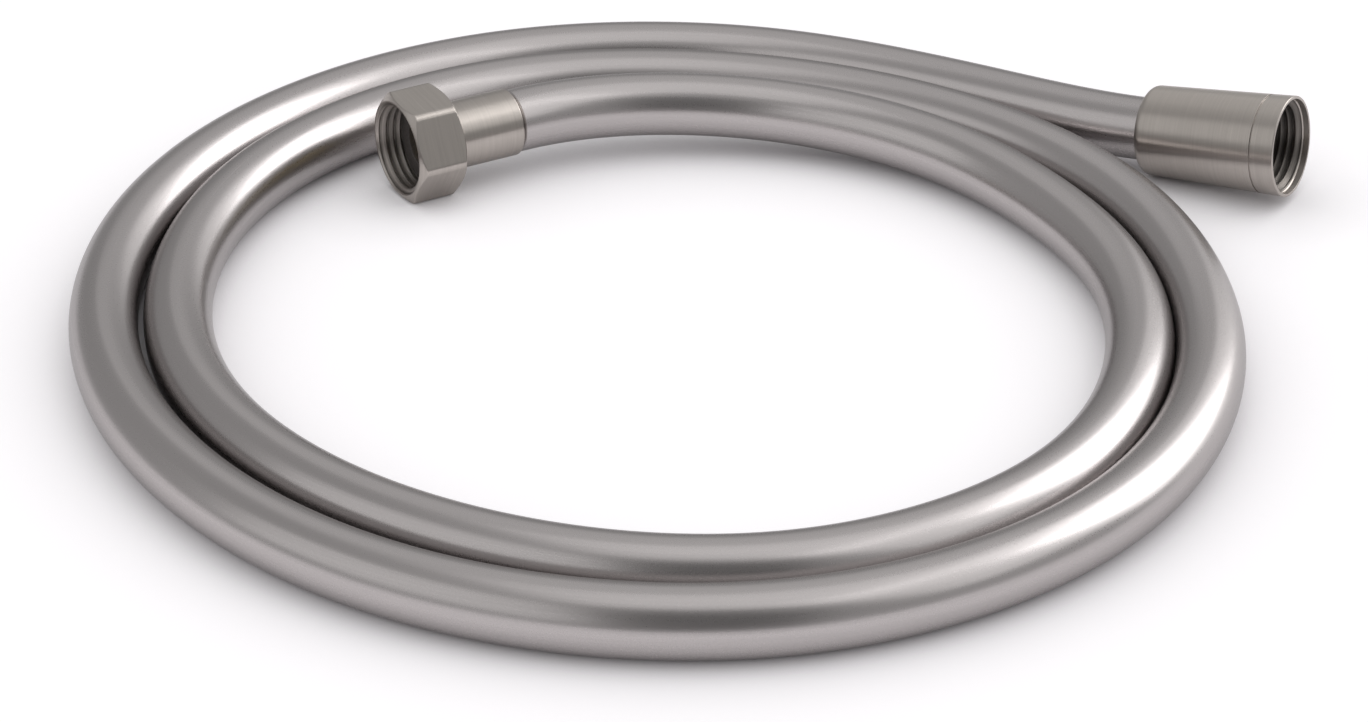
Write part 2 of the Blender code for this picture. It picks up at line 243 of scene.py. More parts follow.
def new_surface(name: str) -> tuple[Material, Graph, bpy.types.Node]:
    """Makes a material with nodes.

    Args:
        name: The material's name.

    Returns:
        The material, its graph and its Principled BSDF.
    """
    material = bpy.data.materials.new(name)
    material.use_nodes = True
    return material, Graph(material.node_tree), material.node_tree.nodes["Principled BSDF"]


def shaded(colour: Colour, factor: float) -> Colour:
    """A colour made lighter or darker by a factor."""
    return tuple(min(1.0, channel * factor) for channel in colour)


def grey(level: float) -> tuple[float, ...]:
    """A plain grey, as a colour socket takes it."""
    return (level, level, level, 1.0)


def kept(graph: Graph, name: str) -> Socket:
    """What each mesh keeps for its finish under a name."""
    return graph.add("ShaderNodeAttribute", settings={"attribute_name": name}).outputs["Vector"]


@dataclass(frozen=True)
class Bore:
    """The inside of a nut: rougher than its outside, darkened by painted shade and with painted highlights
    along its thread.
    """

    diameter: float
    end: float
    pitch: float
    # The painted shade: a factor on the bore's colour, which darkens the inside of the nut. The line fields
    # set the painted highlights on the thread.
    shade: float
    painted_highlight_contrast: float
    painted_highlight_share: float = 0.6
    line_width: float = 0.3
    added_roughness: float = 0.12
    edge_width: float = 0.0001

    def drawn(self, graph: Graph, place: Socket, grain: Socket) -> tuple[Socket, Socket]:
        """Finds the bore by its radius and depth, and paints highlights along its thread: two helical bright
        lines to each turn, on the flanks.

        Args:
            graph: The material's graph.
            place: The point in the nut's own frame.
            grain: The metal's grain there, from 0 to 1.

        Returns:
            1 in the bore and 0 outside it, and the painted highlight lines over the grain, from 0 to 1.
        """
        axes = graph.add("ShaderNodeSeparateXYZ", {"Vector": place})
        flat = graph.add("ShaderNodeCombineXYZ", {"X": axes.outputs["X"], "Y": axes.outputs["Y"]})
        length = graph.add("ShaderNodeVectorMath", {0: flat.outputs[0]}, {"operation": "LENGTH"})
        inside = graph.spread(length.outputs["Value"], self.diameter / 2 + self.edge_width, self.diameter / 2)
        mask = graph.math("MULTIPLY", inside, graph.math("LESS_THAN", axes.outputs["Z"], self.end))
        # Painted highlights: two helical bright lines to each turn of the thread.
        around = graph.math("DIVIDE", graph.math("ARCTAN2", axes.outputs["Y"], axes.outputs["X"]), math.pi)
        turns = graph.math("SUBTRACT", graph.math("DIVIDE", axes.outputs["Z"], self.pitch / 2), around)
        off_line = graph.math("ABSOLUTE", graph.math("SUBTRACT", graph.math("FRACT", turns), 0.5))
        line = graph.math("MULTIPLY", graph.spread(off_line, self.line_width, 0.0), self.painted_highlight_share)
        return mask, graph.math("ADD", line, graph.math("MULTIPLY", grain, 1 - self.painted_highlight_share))


@dataclass(frozen=True)
class Finish:
    """A finish whose grain or speckle takes its colour and its roughness a little down and up."""

    name: str
    colour: Colour
    roughness: float
    colour_spread: float
    roughness_spread: float

    def tone(self, graph: Graph, share: Socket, shade: float = 1.0, spread: float | None = None) -> Socket:
        """The colour where the grain gives a share, darkened by a painted shade where one is given, and with
        a spread of its own if given.
        """
        reach = self.colour_spread if spread is None else spread
        return graph.blend(*(shaded(self.colour, shade * (1 + side * reach)) for side in (-1, 1)), share)

    def rough(self, graph: Graph, share: Socket) -> Socket:
        """The roughness where the grain gives a share."""
        low, high = (self.roughness + side * self.roughness_spread for side in (1, -1))
        return graph.spread(share, 0.0, 1.0, low, high)


@dataclass(frozen=True)
class TurnedMetal(Finish):
    """A turned and brushed metal, with fine rings about its piece's axis and a softer shine across them."""

    colour_spread: float = 0.07
    roughness_spread: float = 0.05
    bore: Bore | None = None
    stroke_length: float = 0.009
    line_width: float = 0.00013
    bump_height: float = 0.000003
    brushing: float = 0.8
    edge_tint: float = 0.85

    def material(self, effects: Effects) -> Material:
        """Builds the material.

        Args:
            effects: The shared node groups.

        Returns:
            The material.
        """
        material, graph, shader = new_surface(self.name)
        place = kept(graph, PLACE_NAME)
        grain = effects.grain(graph, place, self.stroke_length, self.line_width)
        colour, rough = self.tone(graph, grain), self.rough(graph, grain)
        # The bore gets a painted shade, painted highlights along its thread and some more roughness.
        if self.bore:
            mask, lines = self.bore.drawn(graph, place, grain)
            bore_colour_with_painted_light = self.tone(graph, lines, self.bore.shade, self.bore.painted_highlight_contrast)
            colour = graph.blend(colour, bore_colour_with_painted_light, mask)
            rough = graph.math("ADD", rough, graph.math("MULTIPLY", mask, self.bore.added_roughness))
        graph.fill(shader, {
            "Base Color": colour,
            "Roughness": rough,
            "Normal": graph.bump(grain, self.bump_height),
            "Tangent": kept(graph, AXIS_NAME),
            "Anisotropic": self.brushing,
            "Metallic": 1.0,
            "Specular Tint": grey(self.edge_tint),
        })
        return material


@dataclass(frozen=True)
class SheathedFoil(Finish):
    """Silver foil seen through a clear satin sheath, in a frame of its own that runs along the hose."""

    name: str = Slot.HOSE_SHEATH.value
    colour: Colour = (0.45, 0.423, 0.419)
    roughness: float = 0.29
    colour_spread: float = 0.05
    roughness_spread: float = 0.045
    speck_size: float = 0.0003
    hairline_width: float = 0.00045
    hairline_length: float = 0.05
    ripple_width: float = 0.004
    ripple_length: float = 0.06
    ripple_height: float = 0.000014
    edge_tint: float = 0.64
    sheath_weight: float = 0.12
    sheath_roughness: float = 0.16

    def material(self, effects: Effects) -> Material:
        """Builds the material.

        Args:
            effects: The shared node groups.

        Returns:
            The material.
        """
        material, graph, shader = new_surface(self.name)
        place = kept(graph, PLACE_NAME)
        specks = effects.specks(graph, place, self.speck_size)
        hairlines = effects.grain(graph, place, self.hairline_width, self.hairline_length)
        ripples = effects.grain(graph, place, self.ripple_width, self.ripple_length)
        shade = graph.math("MULTIPLY", graph.math("ADD", specks, hairlines), 0.5)
        graph.fill(shader, {
            "Base Color": self.tone(graph, shade),
            "Roughness": self.rough(graph, shade),
            "Normal": graph.bump(ripples, self.ripple_height),
            "Metallic": 1.0,
            "Specular Tint": grey(self.edge_tint),
            "Coat Weight": self.sheath_weight,
            "Coat Roughness": self.sheath_roughness,
        })
        return material


@dataclass(frozen=True)
class Moulded(Finish):
    """A moulded rubber or plastic, finely speckled."""

    colour_spread: float = 0.12
    roughness_spread: float = 0.06
    speck_size: float = 0.0004
    bump_height: float = 0.000008

    def material(self, effects: Effects) -> Material:
        """Builds the material.

        Args:
            effects: The shared node groups.

        Returns:
            The material.
        """
        material, graph, shader = new_surface(self.name)
        shade = effects.specks(graph, kept(graph, PLACE_NAME), self.speck_size)
        graph.fill(shader, {
            "Base Color": self.tone(graph, shade),
            "Roughness": self.rough(graph, shade),
            "Normal": graph.bump(shade, self.bump_height),
        })
        return material


class Finishes:
    """Every finish of the hose, each made once."""

    nickel_colour: Colour = (0.425, 0.390, 0.361)
    nickel_roughness: float = 0.34

    def __init__(self) -> None:
        """Builds the material of each slot."""
        self.effects = Effects()
        plain = (
            SheathedFoil(),
            TurnedMetal(Slot.TAIL_BRASS.value, (0.70, 0.55, 0.28), 0.34),
            Moulded(Slot.WASHER_RUBBER.value, (0.075, 0.066, 0.062), 0.6),
            Moulded(Slot.RING_PLASTIC.value, (0.75, 0.75, 0.72), 0.42),
        )
        self.of = {Slot(finish.name): finish.material(self.effects) for finish in plain}
        self.of[Slot.BRUSHED_NICKEL] = self.plated(Slot.BRUSHED_NICKEL.value)

    def plated(self, name: str, bore: Bore | None = None) -> Material:
        """Builds a brushed nickel, with the piece's bore, in painted shade and with painted thread
        highlights, if it has one that shows.
        """
        return TurnedMetal(name, self.nickel_colour, self.nickel_roughness, bore=bore).material(self.effects)


@dataclass(frozen=True)
class Corner:
    """A corner of a turned outline, with its rounding and the step that divides the edge to the next."""

    depth: float
    diameter: float
    rounding: float = 0.0
    step: float = 0.0


def arc(before: Vector, corner: Vector, after: Vector, radius: float, longest: float) -> list[Vector]:
    """Rounds one corner.

    Args:
        before: The point before the corner.
        corner: The corner.
        after: The point after it.
        radius: The radius of the arc.
        longest: How far from the corner the arc may begin.

    Returns:
        The points of the arc, or the corner alone where the line hardly turns.
    """
    inward = (corner - before).normalized()
    outward = (after - corner).normalized()
    turn = inward.angle(outward)
    if radius <= 0 or turn < STRAIGHT_ANGLE:
        return [corner]
    reach = min(radius * math.tan(turn / 2), longest)
    radius = reach / math.tan(turn / 2)
    middle = corner + (outward - inward).normalized() * radius / math.cos(turn / 2)
    first = corner - inward * reach - middle
    last = corner + outward * reach - middle
    steps = max(2, math.ceil(turn / ARC_STEP))
    shares = [number / steps for number in range(steps + 1)]
    return [
        middle + (first * math.sin((1 - share) * turn) + last * math.sin(share * turn)) / math.sin(turn)
        for share in shares
    ]


def outline(corners: Sequence[Corner], closed: bool = True) -> np.ndarray:
    """Draws a turned piece's outline.

    Args:
        corners: Its corners in order: up the outer side, and back down the bore.
        closed: Whether the last corner leads back to the first.

    Returns:
        The outline's points, each a depth and a radius.
    """
    places = [Vector((corner.depth, corner.diameter / 2)) for corner in corners]
    points: list[Vector] = []
    for number, (corner, place) in enumerate(zip(corners, places)):
        if not closed and number in (0, len(corners) - 1):
            points.append(place)
        else:
            neighbours = (number - 1, (number + 1) % len(places))
            shares = [SHARED_EDGE if corners[i].rounding else WHOLE_EDGE for i in neighbours]
            rooms = [(places[i] - place).length * share for i, share in zip(neighbours, shares)]
            before, after = (places[i] for i in neighbours)
            points += arc(before, place, after, corner.rounding, min(rooms))
        if corner.step and number + 1 < len(corners):
            span = places[number + 1] - points[-1]
            start, count = points[-1], max(1, round(span.length / corner.step))
            points += [start + span * share / count for share in range(1, count)]
    return np.array([tuple(point) for point in points])


def new_object(name: str, data: bpy.types.ID) -> Object:
    """Puts a new object in the scene."""
    thing = bpy.data.objects.new(name, data)
    bpy.context.scene.collection.objects.link(thing)
    return thing


def keep_for_finish(mesh: Mesh, name: str, vectors: np.ndarray) -> None:
    """Keeps a vector for each point of a mesh, for its finish to read under a name."""
    data = mesh.attributes.new(name, "FLOAT_VECTOR", "POINT").data
    data.foreach_set("vector", vectors.astype(np.float32).ravel())


def closed_grid(name: str, points: np.ndarray, places: np.ndarray | None = None) -> Mesh:
    """Makes a closed, ring-shaped mesh from rings of points.

    Args:
        name: The mesh's name.
        points: The points, as rings by sides by 3. The last ring joins the first, and so do the sides.
        places: Where the finish takes each point to be, if it isn't the point itself.

    Returns:
        The mesh, shaded smooth between its sharp edges, with the places kept for its finish.
    """
    rings, sides = points.shape[:2]
    numbers = np.arange(rings * sides).reshape(rings, sides)
    across = np.roll(numbers, -1, axis=1)
    quads = np.stack([numbers, across, np.roll(across, -1, axis=0), np.roll(numbers, -1, axis=0)], axis=-1)
    mesh = bpy.data.meshes.new(name)
    mesh.from_pydata(points.reshape(-1, 3).tolist(), [], quads.reshape(-1, 4).tolist())
    mesh.shade_smooth()
    mesh.set_sharp_from_angle(angle=SHARP_ANGLE)
    keep_for_finish(mesh, PLACE_NAME, points if places is None else places)
    return mesh


def turned_points(profile: np.ndarray, angles: np.ndarray, radii: np.ndarray | None = None) -> np.ndarray:
    """Turns an outline about Z.

    Args:
        profile: The outline's points, each a depth and a radius.
        angles: The angles of the sides.
        radii: The radius of each ring at each side, where it isn't the same all round.

    Returns:
        The points, as rings by sides by 3.
    """
    if radii is None:
        radii = np.repeat(profile[:, 1:2], len(angles), axis=1)
    depths = np.repeat(profile[:, 0:1], len(angles), axis=1)
    return np.stack([radii * np.cos(angles), radii * np.sin(angles), depths], axis=-1)


def even_angles(sides: int) -> np.ndarray:
    """Evenly spaced angles, once round."""
    return np.linspace(0, FULL_TURN, sides, endpoint=False)


def eased(share: np.ndarray) -> np.ndarray:
    """A share that leaves 0 and reaches 1 gently."""
    share = np.clip(share, 0, 1)
    return share * share * (3 - 2 * share)


def flat_ring(front: float, back: float, outer: float, bore: float, rounding: float) -> list[Corner]:
    """The corners of a plain ring, from the depths of its faces, its two diameters and its rounded edges."""
    corners = ((front, outer), (back, outer), (back, bore), (front, bore))
    return [Corner(*corner, rounding) for corner in corners]


def placed_piece(node: str, mesh: Mesh, material: Material, body: Body) -> Object:
    """Puts a piece in the scene, in the stead of its CAD node.

    Args:
        node: The CAD node's name, which the piece gets with a word added.
        mesh: The piece's mesh.
        material: Its material.
        body: The body that it moves with.

    Returns:
        The piece.
    """
    piece = new_object(f"{node}_piece", mesh)
    mesh.materials.append(material)
    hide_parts(node)
    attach(piece, body.value)
    LOG.info("%s: %d points, rides on %s", piece.name, len(mesh.vertices), body.value)
    return piece


@dataclass(frozen=True)
class EndFrame:
    """Where one end of the hose lies."""

    mouth: Vector
    into: Vector

    @classmethod
    def of_joint(cls, joints: Sequence[dict], name: str) -> EndFrame:
        """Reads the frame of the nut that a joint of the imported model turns."""
        joint = next(joint for joint in joints if joint["name"] == name)
        return cls(Vector(joint["pos_m"]), Vector(joint["axis"]).normalized())

    @property
    def matrix(self) -> Matrix:
        """The frame's place in the whole part."""
        across = Vector((-self.into.y, self.into.x, 0)).normalized()
        turn = Matrix((across, self.into.cross(across), self.into)).transposed().to_4x4()
        return Matrix.Translation(self.mouth) @ turn

    def at(self, depth: float) -> Vector:
        """The point on the axis at a depth."""
        return self.mouth + self.into * depth


@dataclass(frozen=True)
class PipeThread:
    """A right-handed internal pipe thread with rounded crests and roots."""

    major: float = 0.020955
    depth: float = 0.0011625
    pitch: float = 0.001814
    step: float = 0.00013
    fade: float = 0.0006
    flank_gain: float = 1.5
    crest_limit: float = 1.05
    crest_power: int = 6

    @property
    def minor(self) -> float:
        """The diameter across the crests inside."""
        return self.major - 2 * self.depth

    def rise(self, depths: np.ndarray, angles: np.ndarray, start: float, end: float) -> np.ndarray:
        """How far the thread stands in from its major radius.

        Args:
            depths: The rings' depths.
            angles: The sides' angles.
            start: The depth at which the thread begins.
            end: The depth at which it has faded out.

        Returns:
            The height of the thread on each ring, at each side.
        """
        turns = depths[:, None] / self.pitch - angles[None, :] / FULL_TURN
        triangle = 4 * np.abs(turns - np.floor(turns) - 0.5) - 1
        flank = self.flank_gain * triangle
        wave = flank / (1 + np.abs(flank / self.crest_limit) ** self.crest_power) ** (1 / self.crest_power)
        edge = eased(np.minimum(depths - start, end - depths) / self.fade)
        return edge[:, None] * self.depth * (1 + wave) / 2


@dataclass(frozen=True)
class CrimpSizes:
    """The sizes that both ends share: the hose, its brass tail, the ferrule over it and the flat washer."""

    hose_diameter: float = 0.0145
    hose_wall: float = 0.00275
    squeeze: float = 0.001
    run_out: float = 0.0005
    neck_diameter: float = 0.0139
    lock_step: float = 0.00125
    barb_step: float = 0.00025
    barb_count: int = 4
    tail_wall: float = 0.0007
    tail_setback: float = 0.001
    ferrule_wall: float = 0.0007
    ferrule_length: float = 0.0165
    ferrule_lip: float = 0.001
    ring_seat_width: float = 0.00105
    washer_bore: float = 0.011
    washer_thickness: float = 0.002

    @property
    def crimped_diameter(self) -> float:
        """The hose's diameter where the ferrule grips it."""
        return self.hose_diameter - self.squeeze

    @property
    def bore(self) -> float:
        """The hose's bore."""
        return self.hose_diameter - 2 * self.hose_wall

    @property
    def barb_diameter(self) -> float:
        """The diameter across a barb's tip."""
        return self.crimped_diameter - 2 * self.hose_wall - 2 * GAP

    @property
    def lock_diameter(self) -> float:
        """The diameter of the waist that the ferrule's lip locks into."""
        return self.neck_diameter - 2 * self.lock_step

    @property
    def ferrule_grip(self) -> float:
        """The ferrule's bore round the hose."""
        return self.crimped_diameter + 2 * GAP

    @property
    def ferrule_diameter(self) -> float:
        """The ferrule's outer diameter."""
        return self.ferrule_grip + 2 * self.ferrule_wall

    @property
    def sliding_bore(self) -> float:
        """The bore of what slides over the ferrule."""
        return self.ferrule_diameter + 2 * GAP

    @property
    def flange_diameter(self) -> float:
        """The diameter of the tail's flange."""
        return self.sliding_bore + 2 * self.ring_seat_width


@dataclass
class CrimpedEnd:
    """One end of the hose: the tail in it, the ferrule over it and the washer before the tail's flange."""

    frame: EndFrame
    finishes: Finishes
    name: str = ""
    flange_thickness: float = 0.0
    # The bore's painted shade and the contrast of its painted thread highlights, which each end sets.
    painted_bore_shade: float = 1.0
    painted_highlight_contrast: float = 0.0
    sizes: CrimpSizes = CrimpSizes()
    thread: PipeThread = PipeThread()
    edge: float = 0.0002
    sides: int = 128

    @property
    def flange_front(self) -> float:
        """The depth at which the tail's flange begins, which each end gives."""
        raise NotImplementedError

    @property
    def ferrule_front(self) -> float:
        """The depth at which the ferrule begins, which each end gives."""
        raise NotImplementedError

    @property
    def hose_start(self) -> float:
        """The depth at which the hose begins, inside the ferrule."""
        return self.ferrule_front + self.sizes.ferrule_lip + GAP

    def dressed(
        self, node: str, mesh: Mesh, slot: Slot, body: Body, material: Material | None = None
    ) -> Object:
        """Places a piece on this end, in the stead of its CAD node.

        Args:
            node: The CAD node's name.
            mesh: The piece's mesh, in the end's own frame.
            slot: The record's slot that it takes its finish from.
            body: The body that it moves with.
            material: Its material, where that isn't the slot's own.

        Returns:
            The piece.
        """
        mesh.transform(self.frame.matrix)
        keep_for_finish(mesh, AXIS_NAME, np.tile(np.array(self.frame.into), len(mesh.vertices)))
        piece = placed_piece(node, mesh, material or self.finishes.of[slot], body)
        piece.modifiers.new("Even shading", "WEIGHTED_NORMAL").keep_sharp = True
        return piece

    def turned(self, node: str, corners: Sequence[Corner], slot: Slot, body: Body = Body.HOSE_LINE) -> Object:
        """Turns a piece from the corners of its outline, and places it."""
        mesh = closed_grid(node, turned_points(outline(corners), even_angles(self.sides)))
        return self.dressed(node, mesh, slot, body)

    def dressed_nut(self, node: str, mesh: Mesh, bore_end: float) -> Object:
        """Places a nut, which moves by itself and whose bore, in painted shade and with painted thread
        highlights, runs to a depth.
        """
        bore = Bore(self.thread.major, bore_end, self.thread.pitch, self.painted_bore_shade, self.painted_highlight_contrast)
        material = self.finishes.plated(f"{node}_nickel", bore)
        return self.dressed(node, mesh, Slot.BRUSHED_NICKEL, Body(node), material)

    def build_tail(self) -> Object:
        """Builds the brass tail: sealing flange, neck, waist and barbs."""
        sizes = self.sizes
        tail_end = self.ferrule_front + sizes.ferrule_length - sizes.tail_setback
        waist_start = self.ferrule_front - GAP
        barb_root = sizes.barb_diameter - 2 * sizes.barb_step
        bore = barb_root - 2 * sizes.tail_wall
        barb_length = (tail_end - self.hose_start) / sizes.barb_count
        flange_back = self.flange_front + self.flange_thickness
        fine = self.edge / 4
        faces = (self.flange_front, flange_back)
        corners = [Corner(depth, sizes.flange_diameter, self.edge) for depth in faces]
        if waist_start - flange_back > self.edge:
            corners += [Corner(depth, sizes.neck_diameter, self.edge) for depth in (flange_back, waist_start)]
        corners += [
            Corner(waist_start, sizes.lock_diameter, fine),
            Corner(self.hose_start - GAP, sizes.lock_diameter, fine),
            Corner(self.hose_start - GAP, sizes.barb_diameter, fine),
        ]
        for number in range(sizes.barb_count):
            start = self.hose_start + number * barb_length
            tip, root = (start, sizes.barb_diameter), (start + barb_length, barb_root)
            corners += [Corner(*tip, fine), Corner(*root, fine)]
        corners += [Corner(tail_end, bore, fine), Corner(self.flange_front, bore, self.edge)]
        return self.turned(f"{self.name}_tail", corners, Slot.TAIL_BRASS)

    def build_ferrule(self) -> Object:
        """Builds the ferrule, with the lip behind the tail's neck."""
        sizes = self.sizes
        front, back = self.ferrule_front, self.ferrule_front + sizes.ferrule_length
        seat = front + sizes.ferrule_lip
        hole = sizes.lock_diameter + 2 * GAP
        corners = [Corner(depth, sizes.ferrule_diameter, 2 * self.edge) for depth in (front, back)]
        inner = ((back, sizes.ferrule_grip), (seat, sizes.ferrule_grip), (seat, hole), (front, hole))
        corners += [Corner(*corner, self.edge / 2) for corner in inner]
        return self.turned(f"{self.name}_ferrule", corners, Slot.BRUSHED_NICKEL)

    def build_washer(self) -> Object:
        """Builds the flat rubber washer."""
        back = self.flange_front - GAP
        front = back - self.sizes.washer_thickness
        corners = flat_ring(front, back, self.thread.minor - GAP, self.sizes.washer_bore, self.edge)
        return self.turned(f"{self.name}_washer", corners, Slot.WASHER_RUBBER)

    def threaded(self, profile: np.ndarray, angles: np.ndarray, start: float, end: float) -> np.ndarray:
        """Cuts the thread into the stretch of an outline that lies at the thread's major radius.

        Args:
            profile: The outline's points, each a depth and a radius.
            angles: The sides' angles.
            start: The depth at which the thread begins.
            end: The depth at which it has faded out.

        Returns:
            The radius of each ring at each side.
        """
        radii = np.repeat(profile[:, 1:2], len(angles), axis=1)
        bored = np.abs(profile[:, 1] - self.thread.major / 2) < GAP / 100
        radii[bored] -= self.thread.rise(profile[bored, 0], angles, start, end)
        return radii


@dataclass
class HexEnd(CrimpedEnd):
    """The inner end, with the hexagonal nut."""

    name: str = "hex_end"
    flange_thickness: float = 0.002
    # A light painted shade in the bore, and strong painted thread highlights.
    painted_bore_shade: float = 0.95
    painted_highlight_contrast: float = 0.55
    wall: float = 0.00102
    length: float = 0.012
    lip: float = 0.0016
    corner_radius: float = 0.0021
    mouth_bevel: float = 0.0003
    rim_width: float = 0.00037
    first_flat: float = math.radians(96)
    flat_count: int = 6
    half_side: float = math.radians(30)
    chamfer_run: float = math.tan(math.radians(60))
    blend_width: float = 0.0003
    thread_end: float = 0.009
    chamfer_step: float = 0.00005
    chamfer_depth: float = 0.0014
    flat_rings: int = 8
    corner_sides: int = 22
    flat_sides: int = 34

    @property
    def flange_front(self) -> float:
        """The depth at which the tail's flange begins, with the nut's lip behind it."""
        return self.length - self.lip - GAP - self.flange_thickness

    @property
    def ferrule_front(self) -> float:
        """The depth at which the ferrule begins, behind the nut."""
        return self.length + GAP

    @property
    def apothem(self) -> float:
        """Half the width across the flats."""
        return self.thread.major / 2 + self.wall

    def side_angles(self) -> np.ndarray:
        """The angles of the sides, closer together round the six corners."""
        tangent = math.atan((self.apothem - self.corner_radius) * math.tan(self.half_side) / self.apothem)
        flat = np.linspace(-tangent, tangent, self.flat_sides, endpoint=False)
        corner = np.linspace(tangent, 2 * self.half_side - tangent, self.corner_sides, endpoint=False)
        side = np.concatenate([flat, corner])
        starts = [self.first_flat + number * 2 * self.half_side for number in range(self.flat_count)]
        return np.concatenate([start + side for start in starts])

    def hexagon(self, angles: np.ndarray) -> np.ndarray:
        """The rounded hexagon's radius at each angle.

        Args:
            angles: The sides' angles.

        Returns:
            The distance from the axis to the hexagon.
        """
        from_flat = np.mod(angles - self.first_flat + self.half_side, 2 * self.half_side) - self.half_side
        from_corner = self.half_side - np.abs(from_flat)
        inner = self.apothem - self.corner_radius
        reach = inner / math.cos(self.half_side)
        beside = np.maximum(self.corner_radius**2 - (reach * np.sin(from_corner)) ** 2, 0)
        rounded = reach * np.cos(from_corner) + np.sqrt(beside)
        on_flat = np.abs(np.tan(from_flat)) * self.apothem <= inner * math.tan(self.half_side)
        return np.where(on_flat, self.apothem / np.cos(from_flat), rounded)

    def build_nut(self) -> Object:
        """Builds the nut: a chamfered hexagon, its threaded bore and the hole for the tail's neck."""
        shoulder = self.length - self.lip
        face = self.thread.major + 2 * self.mouth_bevel + 2 * self.rim_width
        hole = self.sizes.neck_diameter + 2 * GAP
        chamfer = np.arange(0, self.chamfer_depth, self.chamfer_step)
        flat_end = self.length - self.chamfer_depth
        flat = np.linspace(self.chamfer_depth, flat_end, self.flat_rings, endpoint=False)
        depths = np.concatenate([chamfer, flat, self.length - chamfer[::-1]])
        angles = self.side_angles()
        envelope = face / 2 + np.minimum(depths, self.length - depths) * self.chamfer_run
        sides = np.repeat(self.hexagon(angles)[None, :], len(depths), axis=0)
        ends = np.repeat(envelope[:, None], len(angles), axis=1)
        overlap = np.maximum(self.blend_width - np.abs(sides - ends), 0) / self.blend_width
        outside = np.minimum(sides, ends) - overlap**2 * self.blend_width / 4
        corners = [
            Corner(self.length, face - self.edge),
            Corner(self.length, hole, self.edge),
            Corner(shoulder, hole, self.edge / 2),
            Corner(shoulder, self.thread.major, 0, self.thread.step),
            Corner(self.mouth_bevel, self.thread.major),
            Corner(0, self.thread.major + 2 * self.mouth_bevel, self.edge / 4),
            Corner(0, face - self.edge),
        ]
        bore = outline(corners, closed=False)
        inside = self.threaded(bore, angles, self.mouth_bevel, self.thread_end)
        profile = np.concatenate([np.stack([depths, envelope], axis=-1), bore])
        mesh = closed_grid("hex_nut", turned_points(profile, angles, np.concatenate([outside, inside])))
        return self.dressed_nut("hex_nut", mesh, self.length - self.lip / 2)

    def build(self) -> list[Object]:
        """Builds every piece of the end."""
        return [self.build_nut(), self.build_tail(), self.build_ferrule(), self.build_washer()]


@dataclass
class ConeEnd(CrimpedEnd):
    """The outer end, with the conical nut and the slip ring that it turns on."""

    name: str = "cone_end"
    flange_thickness: float = 0.0025
    # A deep painted shade in the bore, and fainter painted thread highlights.
    painted_bore_shade: float = 0.42
    painted_highlight_contrast: float = 0.35
    length: float = 0.0347
    mouth_wall: float = 0.0007
    mouth_edge: float = 0.0002
    rear_clearance: float = 0.0005
    rear_rim: float = 0.00009
    rear_fillet: float = 0.002
    groove_middle: float = 0.0056
    groove_width: float = 0.0004
    groove_depth: float = 0.0003
    counterbore_step: float = 0.00032
    counterbore_depth: float = 0.0014
    thread_lead: float = 0.00025
    thread_end: float = 0.0106
    shoulder: float = 0.0154
    slip_ring_thickness: float = 0.0013
    nut_sides: int = 224

    @property
    def flange_front(self) -> float:
        """The depth at which the tail's flange begins, before the slip ring and the nut's shoulder."""
        return self.shoulder - 2 * GAP - self.slip_ring_thickness - self.flange_thickness

    @property
    def ferrule_front(self) -> float:
        """The depth at which the ferrule begins, behind the flange."""
        return self.flange_front + self.flange_thickness + GAP

    def diameter(self, depth: float) -> float:
        """The nut's outer diameter at a depth, as far as the fillet round its rear."""
        fillet = self.sizes.ferrule_diameter + 2 * (self.rear_clearance + self.rear_rim + self.rear_fillet)
        return self.mouth_diameter + (fillet - self.mouth_diameter) * depth / (self.length - self.rear_fillet)

    @property
    def counterbore_diameter(self) -> float:
        """The diameter of the recess in the mouth."""
        return self.thread.major + 2 * self.counterbore_step

    @property
    def mouth_diameter(self) -> float:
        """The nut's outer diameter at its mouth."""
        return self.counterbore_diameter + 2 * self.mouth_wall

    def build_nut(self) -> Object:
        """Builds the nut: a tapered shell with a fine groove, a recessed, threaded mouth and a shoulder."""
        groove_start = self.groove_middle - self.groove_width / 2
        groove_end = self.groove_middle + self.groove_width / 2
        rear_bore = self.sizes.ferrule_diameter + 2 * self.rear_clearance
        flange_bore = self.sizes.flange_diameter + 2 * GAP
        fine = self.edge / 4
        corners = [
            Corner(0, self.mouth_diameter, self.mouth_edge),
            Corner(groove_start, self.diameter(groove_start), fine),
            Corner(groove_start, self.diameter(groove_start) - 2 * self.groove_depth, fine),
            Corner(groove_end, self.diameter(groove_end) - 2 * self.groove_depth, fine),
            Corner(groove_end, self.diameter(groove_end), fine),
            Corner(self.length, self.diameter(self.length), self.rear_fillet),
            Corner(self.length, rear_bore),
            Corner(self.shoulder, rear_bore, fine),
            Corner(self.shoulder, flange_bore, fine),
            Corner(self.thread_end, flange_bore, fine),
            Corner(self.thread_end, self.thread.major, 0, self.thread.step),
            Corner(self.counterbore_depth + self.thread_lead, self.thread.major),
            Corner(self.counterbore_depth, self.thread.major + 2 * self.thread_lead, fine),
            Corner(self.counterbore_depth, self.counterbore_diameter, fine),
            Corner(0, self.counterbore_diameter, fine),
        ]
        profile = outline(corners)
        angles = even_angles(self.nut_sides)
        radii = self.threaded(profile, angles, self.counterbore_depth + self.thread_lead, self.thread_end)
        mesh = closed_grid("cone_nut", turned_points(profile, angles, radii))
        return self.dressed_nut("cone_nut", mesh, self.shoulder)

    def build_slip_ring(self) -> Object:
        """Builds the plastic ring between the nut's shoulder and the tail's flange."""
        back = self.shoulder - GAP
        front = back - self.slip_ring_thickness
        corners = flat_ring(front, back, self.sizes.flange_diameter, self.sizes.sliding_bore, self.edge)
        return self.turned("slip_ring", corners, Slot.RING_PLASTIC, Body.SLIP_RING)

    def build(self) -> list[Object]:
        """Builds every piece of the end."""
        nut, slip_ring = self.build_nut(), self.build_slip_ring()
        return [nut, slip_ring, self.build_tail(), self.build_ferrule(), self.build_washer()]


